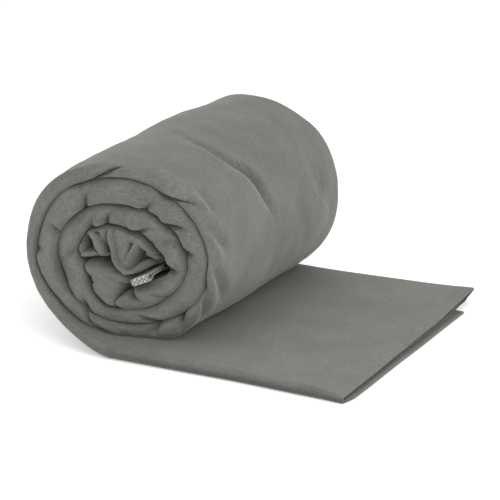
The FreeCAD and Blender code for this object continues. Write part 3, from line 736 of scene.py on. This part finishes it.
def ply_path(x):
    """The middle of the folded cloth's thickness in an end view at x: bottom ply, near fold, top
    ply, far fold, middle ply, as (y, z) points."""
    skin = PLY / 2
    near_top = float(tail_top(np.array(x), np.array(-HALF + 4.0))) - skin
    rise = (near_top - skin) / 2
    fold_y = -HALF + skin + rise
    short = HALF - 22.0 - 1.5 * math.sin(x * 0.05)
    far_round = float(spline(FAR_ROUND, np.array(float(x))))
    far_y = HALF - skin - far_round * 0.9
    fold_turns = np.linspace(0, math.pi, FOLD_COUNT + 2)[1:-1]
    bottom = [(y, skin) for y in np.linspace(short, fold_y, BOTTOM_COUNT)]
    near = [
        (fold_y - rise * math.sin(turn), skin + rise * (1 - math.cos(turn)))
        for turn in fold_turns
    ]
    top_y = np.linspace(fold_y, far_y, TOP_COUNT)
    lift = smooth(fold_y + 14.0, fold_y, top_y)
    top_z = tail_top(np.full(TOP_COUNT, float(x)), top_y) - skin
    top = list(zip(top_y, top_z + (near_top - top_z) * lift))
    far_top = top[-1][1]
    far = [
        (far_y + 0.9 * far_round * math.sin(turn) ** 0.9, far_top - far_round * (1 - math.cos(turn)))
        for turn in fold_turns
    ]
    inner_y = np.linspace(far_y, -HALF + 7.0, MIDDLE_COUNT)
    above = np.interp(inner_y, top_y, [point[1] for point in top])
    # The middle ply rests on the bottom ply, and on the floor beyond that ply's edge.
    under = skin + (PLY + 0.1) * (1 - smooth(short, short + 3.5, inner_y))
    drop = max(far_top - 2 * far_round - under[0], 0.0)
    inner_z = under + drop * (1 - smooth(0.0, 24.0, far_y - inner_y))
    inner_z = np.minimum(inner_z, above - PLY)
    inner = list(zip(inner_y, inner_z))
    return np.array(bottom + near + top + far + inner)


def ply_ring(path, thickness):
    """A closed outline round a path, with rounded free ends."""
    tangent, normal = directions(path)
    half = thickness / 2

    def cap(end, reach):
        """Points round a free end."""
        return [
            path[end] + reach * (tangent[end] * math.cos(turn) + normal[end] * math.sin(turn))
            for turn in CAP_TURNS
        ]

    sides = path - normal * half, (path + normal * half)[::-1]
    return np.concatenate([sides[0], cap(-1, half), sides[1], cap(0, -half)])


def ply_slide(path):
    """How far each point of the outline round a path ends beyond the top ply."""
    at, slid = zip(*PLY_SLIDE)
    slide = np.interp(np.arange(len(path)), at, slid)
    ends = len(CAP_TURNS)
    return np.concatenate([slide, [slide[-1]] * ends, slide[::-1], [slide[0]] * ends])


def tail_rings():
    """Rings of the whole tail from its root to its rounded end, and their places on the cloth."""
    count = round((TAIL_END - TAIL_ROOT) / 1.5)
    stations = list(np.linspace(TAIL_ROOT, TAIL_END - PLY / 2, count))
    # The stations include the middle of each length, where one piece ends and the next starts.
    seams = [TAIL_ROOT + TAIL_PITCH * number for number in range(1, len(BENDS))]
    for seam in seams:
        nearest = min(range(count), key=lambda index: abs(stations[index] - seam))
        stations[nearest] = seam
    rings = []
    for x in stations:
        path = ply_path(x)
        hem = smooth(TAIL_END - HEM - 0.6, TAIL_END - HEM + 0.8, x)
        outline = ply_ring(path, PLY + HEM_EXTRA * hem)
        rings.append(np.column_stack([np.full(len(outline), x), outline]))
    last = ply_path(stations[-1])
    for turn in np.radians([25, 50, 70, 85]):
        outline = ply_ring(last, (PLY + HEM_EXTRA) * math.cos(turn))
        x = stations[-1] + PLY / 2 * math.sin(turn)
        rings.append(np.column_stack([np.full(len(outline), x), outline]))
    rings = np.array(rings)
    # The end isn't cut dead square: its near corner reaches further out and forwards.
    across = (rings[:, :, 1] + HALF) / (2 * HALF)
    share = smooth(60.0, TAIL_END, rings[:, :, 0])
    rings[:, :, 1] -= 3.0 * share * (1 - smooth(0.0, 0.5, across))
    uneven = 0.25 * waves(rings[:, :, 1], 0 * rings[:, :, 1], 70.0, 52)
    rings[:, :, 0] += share * (2.7 - 1.0 * across + uneven)
    # The plies under the top one don't end flush with it, except at the near fold.
    slide = ply_slide(last)[None, :] * smooth(0.0, 0.06, across)
    rings[:, :, 0] += slide * smooth(SLIDE_START, TAIL_END, rings[:, :, 0])
    along, around = rings[:, :, 0] + TAIL_CLOTH_START, runs(rings[0, :, 1:])
    return rings, np.stack(np.broadcast_arrays(along, around), axis=-1), seams


def grid_normals(rings):
    """Unit normals of a stack of closed rings, from its neighbours both ways."""
    along = np.gradient(rings, axis=0)
    around = np.roll(rings, -1, axis=1) - np.roll(rings, 1, axis=1)
    normal = np.cross(around, along)
    return normal / np.maximum(np.linalg.norm(normal, axis=2), 1e-9)[:, :, None]


def tail_pieces():
    """One continuous cloth cut at the middle of each length, one piece for each length. The pieces
    share their normals, so the cuts don't show."""
    rings, cloth, seams = tail_rings()
    normals = grid_normals(rings)
    columns = rings.shape[1]
    first_x = rings[:, 0, 0]
    cuts = [0] + [int(np.argmin(abs(first_x - seam))) for seam in seams] + [len(rings) - 1]
    made = []
    for number, (first, last) in enumerate(zip(cuts, cuts[1:])):
        block = slice(first, last + 1)
        points = rings[block].reshape(-1, 3)
        rows = last + 1 - first
        faces = tube_faces(rows, columns, cap_start=number == 0, cap_end=number == len(BENDS) - 1)
        piece = mesh_object(f"tail_{number + 1}", points, faces, cloth[block].reshape(-1, 2))
        piece.data.normals_split_custom_set_from_vertices(normals[block].reshape(-1, 3).tolist())
        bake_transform(piece)
        stands_for(f"tail_cloth_{number + 1}")
        made.append(piece)
    return made


# --- Materials ---

class Nodes:
    """Adds shader nodes to a new material and links them."""

    def __init__(self, name):
        self.material = bpy.data.materials.new(name)
        self.material.use_nodes = True
        self.tree = self.material.node_tree
        self.shader = self.tree.nodes["Principled BSDF"]
        cloth = self.tree.nodes.new("ShaderNodeUVMap")
        cloth.uv_map = "cloth"
        self.place = cloth.outputs["UV"]

    def put(self, socket, value):
        """Links a socket, or sets it to a plain value."""
        if isinstance(value, bpy.types.NodeSocket):
            self.tree.links.new(value, socket)
        else:
            socket.default_value = value

    def math(self, operation, first, second=0.0, third=0.0):
        """A maths node on values or sockets."""
        made = self.tree.nodes.new("ShaderNodeMath")
        made.operation = operation
        for socket, value in zip(made.inputs, (first, second, third)):
            self.put(socket, value)
        return made.outputs[0]

    def noise(self, scale, detail=2.0, stretch=None):
        """Noise from 0 to 1 on the piece's coordinates. One unit of the cloth's is 100 mm."""
        source = self.place
        if stretch:
            mapping = self.tree.nodes.new("ShaderNodeMapping")
            mapping.inputs["Scale"].default_value = (*stretch, 1.0)
            self.put(mapping.inputs["Vector"], source)
            source = mapping.outputs["Vector"]
        made = self.tree.nodes.new("ShaderNodeTexNoise")
        made.inputs["Scale"].default_value = scale
        made.inputs["Detail"].default_value = detail
        self.put(made.inputs["Vector"], source)
        return made.outputs["Fac"]

    def spread(self, value, low, high, out_low=0.0, out_high=1.0):
        """Maps low..high of a value to out_low..out_high, held at its ends."""
        made = self.tree.nodes.new("ShaderNodeMapRange")
        for socket, number in zip(made.inputs, (value, low, high, out_low, out_high)):
            self.put(socket, number)
        return made.outputs[0]

    def sine(self, value, pitch):
        """A sine wave along a value."""
        return self.math("SINE", self.math("MULTIPLY", value, 2 * math.pi / pitch))

    def mix(self, share, first, second, blend="MIX"):
        """A mix of two colours."""
        made = self.tree.nodes.new("ShaderNodeMix")
        made.data_type = "RGBA"
        made.blend_type = blend
        self.put(made.inputs[0], share)
        self.put(made.inputs[6], (*first, 1) if isinstance(first, tuple) else first)
        self.put(made.inputs[7], (*second, 1) if isinstance(second, tuple) else second)
        return made.outputs[2]

    def scale(self, colour, value):
        """A colour made lighter or darker by a value."""
        grey = self.tree.nodes.new("ShaderNodeCombineColor")
        for socket in grey.inputs[:3]:
            self.put(socket, value)
        return self.mix(1.0, colour, grey.outputs[0], "MULTIPLY")

    def hollow(self, reach):
        """How open the surface is, from 0 in a crease to 1 in the open."""
        made = self.tree.nodes.new("ShaderNodeAmbientOcclusion")
        made.samples = 8
        made.inputs["Distance"].default_value = reach
        return made.outputs["AO"]

    def bump(self, height, strength, distance):
        """Bump from a height."""
        made = self.tree.nodes.new("ShaderNodeBump")
        made.inputs["Strength"].default_value = strength
        made.inputs["Distance"].default_value = distance
        self.put(made.inputs["Height"], height)
        self.put(self.shader.inputs["Normal"], made.outputs["Normal"])

    def finish(self, colour, roughness, **more):
        """Sets the shader's inputs and returns the material."""
        self.put(self.shader.inputs["Base Color"], colour)
        self.put(self.shader.inputs["Roughness"], roughness)
        for name, value in more.items():
            self.put(self.shader.inputs[name.replace("_", " ")], value)
        return self.material

    def along_and_across(self):
        """The cloth's coordinates as two values in millimetres."""
        made = self.tree.nodes.new("ShaderNodeSeparateXYZ")
        self.put(made.inputs[0], self.place)
        return tuple(self.math("MULTIPLY", socket, 100.0) for socket in made.outputs[:2])


CLOTH_LIGHT = (0.129, 0.131, 0.117)
CLOTH_DARK = (0.098, 0.100, 0.089)


def towel_cloth():
    """Short suede nap on a fine knit: soft blotches where the nap lies another way, a fine grain,
    and a pale bloom where it is seen edge on. Painted shade darkens it in creases, and the tail
    has painted light and a painted shadow of the roll."""
    made = Nodes("towel_cloth")
    blotches = made.spread(made.noise(5.0, 4.0), 0.36, 0.64)
    streaks = made.spread(made.noise(30.0, 3.0, stretch=(0.35, 1.6)), 0.3, 0.7)
    share = made.math("MULTIPLY_ADD", streaks, 0.35, made.math("MULTIPLY", blotches, 0.65))
    colour = made.mix(share, CLOTH_DARK, CLOTH_LIGHT)
    grain = made.noise(120.0, 4.0)
    nap = made.noise(46.0, 3.0, stretch=(0.8, 1.2))
    # Grain and nap vary the tone at random; the last factor is painted shade, which darkens the colour in
    # creases and hollows.
    for tone in (
        (grain, 0.3, 0.7, 0.80, 1.20),
        (nap, 0.3, 0.7, 0.88, 1.12),
        (made.hollow(0.028), 0.2, 0.95, 0.42, 1.0),
    ):
        colour = made.scale(colour, made.spread(*tone))
    # Painted light and shade on the tail's upper face: it is painted a little paler where it is open, and a
    # painted shadow darkens it softly towards the roll.
    along, across = made.along_and_across()
    on_tail = made.spread(along, TAIL_CLOTH_START, TAIL_CLOTH_START + 25.0)
    painted_light_and_roll_shadow = made.spread(made.hollow(0.07), 0.4, 0.9, -0.38, 0.13)
    colour = made.scale(colour, made.math("MULTIPLY_ADD", on_tail, painted_light_and_roll_shadow, 1.0))
    fine = made.noise(420.0, 2.0)
    ribs = made.sine(across, 0.9)
    height = made.math("MULTIPLY_ADD", ribs, 0.05, made.math("MULTIPLY_ADD", fine, 0.5, grain))
    made.bump(made.math("MULTIPLY_ADD", nap, 1.2, height), 0.42, 0.0005)
    return made.finish(
        colour, 0.95, Sheen_Weight=0.35, Sheen_Roughness=0.55, Sheen_Tint=(0.85, 0.86, 0.80, 1),
        Specular_IOR_Level=0.15,
    )


def hem_thread():
    """Twisted sewing thread a little darker than the cloth."""
    made = Nodes("hem_thread")
    along, around = made.along_and_across()
    around = made.math("MULTIPLY", around, 5.0)
    twist = made.math("SINE", made.math("MULTIPLY_ADD", along, 14.0, around))
    lit = made.spread(twist, -1.0, 1.0)
    colour = made.mix(lit, (0.085, 0.087, 0.077), (0.125, 0.127, 0.113))
    made.bump(twist, 0.5, 0.0001)
    return made.finish(colour, 0.7, Sheen_Weight=0.2)


def woven_ribbon():
    """Woven ribbon: grey, with a silver band of plain dark lozenges round the bight."""
    made = Nodes("woven_ribbon")
    along, across = made.along_and_across()
    across = made.math("SUBTRACT", made.math("ABSOLUTE", across), FACE_APART)
    pitch, radius = 2.8, 1.05
    from_front = made.math("SUBTRACT", along, BIGHT_ALONG)
    row = made.math("PINGPONG", made.math("ADD", from_front, pitch / 2), pitch)
    row = made.math("SUBTRACT", row, pitch / 2)
    column = made.math("SUBTRACT", made.math("PINGPONG", across, pitch), pitch / 2)
    from_middle = made.math("ADD", made.math("ABSOLUTE", row), made.math("ABSOLUTE", column))
    from_line = made.math("ABSOLUTE", made.math("SUBTRACT", from_middle, radius))
    drawn = made.spread(from_line, 0.22, 0.46, 1.0, 0.0)
    band = made.spread(made.math("ABSOLUTE", from_front), 2.2, 3.0, 1.0, 0.0)
    edge = made.spread(made.math("ABSOLUTE", across), 4.7, 5.0)
    weft = made.sine(along, 0.42)
    warp = made.sine(across, 0.36)
    weave = made.math("MULTIPLY", weft, warp)
    lit = made.spread(weave, -1.0, 1.0)
    silver = made.mix(lit, (0.34, 0.34, 0.32), (0.66, 0.66, 0.63))
    plain = made.mix(lit, (0.13, 0.13, 0.12), (0.24, 0.24, 0.225))
    dark = made.mix(lit, (0.035, 0.035, 0.033), (0.10, 0.10, 0.093))
    colour = made.mix(made.math("MAXIMUM", drawn, made.math("MULTIPLY", edge, 0.5)), silver, dark)
    colour = made.mix(band, plain, colour)
    made.bump(weave, 0.6, 0.0002)
    return made.finish(colour, 0.55, Sheen_Weight=0.25, Specular_IOR_Level=0.4)


def satin_label():
    """Undyed satin tape with nothing printed on it."""
    made = Nodes("satin_label")
    along, _ = made.along_and_across()
    lines = made.sine(along, 0.3)
    aged = made.spread(made.noise(12.0, 3.0), 0.35, 0.65)
    colour = made.mix(aged, (0.62, 0.61, 0.58), (0.74, 0.74, 0.71))
    made.bump(lines, 0.25, 0.0001)
    return made.finish(colour, made.spread(lines, -1.0, 1.0, 0.32, 0.5), Anisotropic=0.5)


def generated(made):
    """Uses the piece's own 3-D coordinates, for the small CAD pieces, which have no cloth map."""
    coordinates = made.tree.nodes.new("ShaderNodeTexCoord")
    made.place = coordinates.outputs["Object"]


def snap_metal():
    """Plated snap metal with fine rubbed scratches."""
    made = Nodes("snap_metal")
    generated(made)
    rub = made.noise(900.0, 3.0, stretch=(1.0, 0.2))
    dull = made.noise(300.0, 2.0)
    made.bump(rub, 0.15, 0.0001)
    colour = made.mix(made.spread(dull, 0.3, 0.7), (0.46, 0.46, 0.45), (0.60, 0.60, 0.59))
    return made.finish(colour, made.spread(rub, 0.3, 0.7, 0.28, 0.48), Metallic=1.0)


def snap_plastic():
    """Black moulded acetal with a fine spark-eroded grain."""
    made = Nodes("snap_plastic")
    generated(made)
    grain = made.noise(2500.0, 2.0)
    made.bump(grain, 0.3, 0.0001)
    return made.finish(made.mix(grain, (0.018, 0.018, 0.018), (0.035, 0.035, 0.034)), 0.42)


def tack_thread():
    """Dark thread of the loop's bar tacks."""
    made = Nodes("tack_thread")
    generated(made)
    strands = made.noise(1800.0, 2.0, stretch=(0.3, 1.0))
    made.bump(strands, 0.5, 0.0001)
    return made.finish(made.mix(strands, (0.05, 0.05, 0.05), (0.14, 0.14, 0.13)), 0.75)


def dress(piece, material):
    """Gives a piece one material in place of any it has."""
    piece.data.materials.clear()
    piece.data.materials.append(material)


# --- Stage, light and camera ---

FLOOR_SIZE = 12.0  # lengths from here on are in metres
FLOOR_DROP = 0.0002
WORLD_LIGHT = 0.68
# Area lamps to the front and right: name, size, power in watts and place.
LAMPS = (
    ("key", 1.3, 16.0, (0.9, -0.9, 1.35)),
    ("side", 1.0, 9.0, (1.1, -1.2, 0.45)),
)
LAMP_AIM = Vector((0.02, 0, 0.03))
CAMERA_AIM = Vector((0.0326, 0.0113, 0.0349))
CAMERA_DISTANCE = 1.2205
CAMERA_AZIMUTH, CAMERA_ELEVATION = math.radians(26.88), math.radians(17.35)
CAMERA_LENS, CAMERA_SENSOR = 170.0, 36.0


def studio_floor():
    """Pale paper with a barely uneven tone, which gives off a little light of its own."""
    made = Nodes("studio_floor")
    generated(made)
    tone = made.noise(3.0, 2.0)
    return made.finish(
        made.mix(tone, (0.88, 0.88, 0.88), (0.92, 0.92, 0.92)), 0.9,
        Emission_Color=(1, 1, 1, 1), Emission_Strength=0.36,
    )


def add_floor():
    """The pale floor, just under the towel."""
    bpy.ops.mesh.primitive_plane_add(size=FLOOR_SIZE, location=(0, 0, -FLOOR_DROP))
    floor = bpy.context.object
    floor.name = "floor"
    dress(floor, studio_floor())


def add_light():
    """Soft white light from all round, with more from the front and right."""
    world = bpy.data.worlds.new("studio")
    world.use_nodes = True
    background = world.node_tree.nodes["Background"]
    background.inputs["Color"].default_value = (1, 1, 1, 1)
    background.inputs["Strength"].default_value = WORLD_LIGHT
    bpy.context.scene.world = world
    for name, size, power, spot in LAMPS:
        light = bpy.data.lights.new(name, "AREA")
        light.size = size
        light.energy = power
        lamp = bpy.data.objects.new(name, light)
        lamp.location = spot
        lamp.rotation_euler = (LAMP_AIM - Vector(spot)).to_track_quat("-Z", "Y").to_euler()
        bpy.context.scene.collection.objects.link(lamp)


def add_camera():
    """The camera, to the front and right and a little above."""
    lens = bpy.data.cameras.new("camera")
    lens.lens = CAMERA_LENS
    lens.sensor_width = CAMERA_SENSOR
    camera = bpy.data.objects.new("camera", lens)
    back = Vector((
        math.sin(CAMERA_AZIMUTH) * math.cos(CAMERA_ELEVATION),
        -math.cos(CAMERA_AZIMUTH) * math.cos(CAMERA_ELEVATION),
        math.sin(CAMERA_ELEVATION),
    ))
    camera.location = CAMERA_AIM + back * CAMERA_DISTANCE
    camera.rotation_euler = (-back).to_track_quat("-Z", "Y").to_euler()
    bpy.context.scene.collection.objects.link(camera)
    bpy.context.scene.camera = camera
    bpy.context.scene.view_settings.view_transform = "Standard"


# --- Assembly ---

def cad_pieces(*names):
    """The CAD's own objects, by node name."""
    return [frame["nodes"][name] for name in names]


cloth_pieces = [roll_strip()] + core_corner() + tail_pieces()
ribbons = hang_loop()
labels = care_label()
threads = hem_threads()
for pieces, material in (
    (cloth_pieces, towel_cloth()),
    (ribbons, woven_ribbon()),
    (labels, satin_label()),
    ([threads], hem_thread()),
    (cad_pieces("snap_rivet", "snap_stud", "snap_socket", "snap_spring"), snap_metal()),
    (cad_pieces("snap_cap"), snap_plastic()),
    (cad_pieces("loop_bar_tack", "label_stitches"), tack_thread()),
):
    for piece in pieces:
        dress(piece, material)
add_floor()
add_light()
add_camera()
